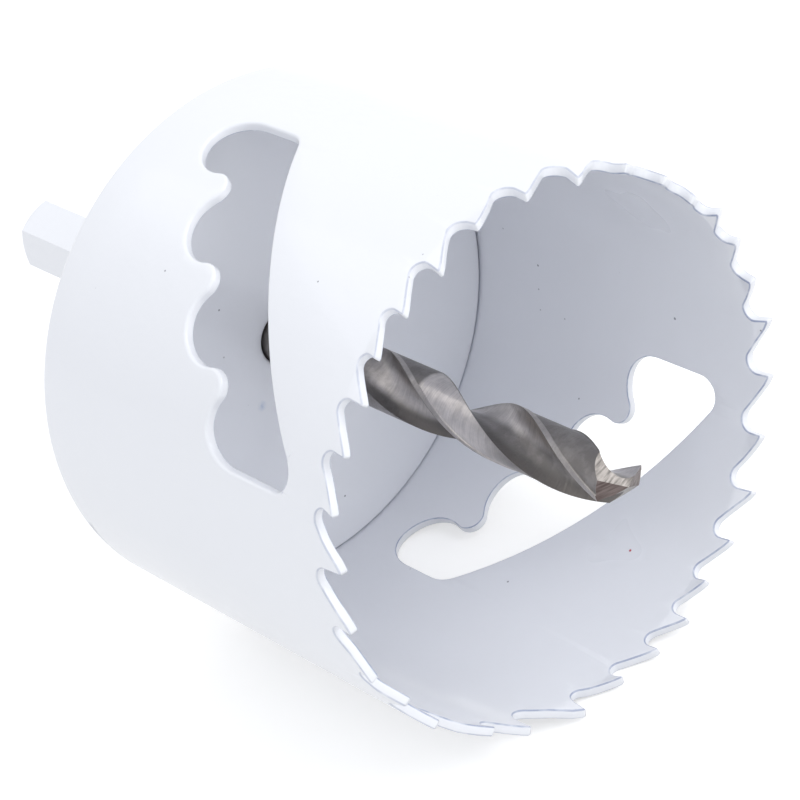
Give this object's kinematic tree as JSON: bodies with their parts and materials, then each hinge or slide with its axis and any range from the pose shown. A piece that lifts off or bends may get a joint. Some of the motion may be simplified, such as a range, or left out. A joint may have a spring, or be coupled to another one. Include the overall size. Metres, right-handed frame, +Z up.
{
  "type": "hole saw",
  "caption": "Cup-shaped hole saw with set rim teeth, two wavy chip slots, a hexagonal arbor and a twist pilot drill, lying on its side.",
  "frame": {"origin": "centre of the shank's end face", "axes": "+X along the saw axis towards the teeth and the drill's point, +Z up as the saw lies"},
  "size_m": [0.1004, 0.0604, 0.0604],
  "materials": {
    "white_enamel": "gloss",
    "ground_steel": "ground",
    "black_steel": "blackened"
  },
  "bodies": {
    "root": {"cup_wall": "white_enamel", "end_cap": "white_enamel", "arbor": "white_enamel", "pilot_drill": "ground_steel", "set_screw": "black_steel"}
  },
  "joints": []
}
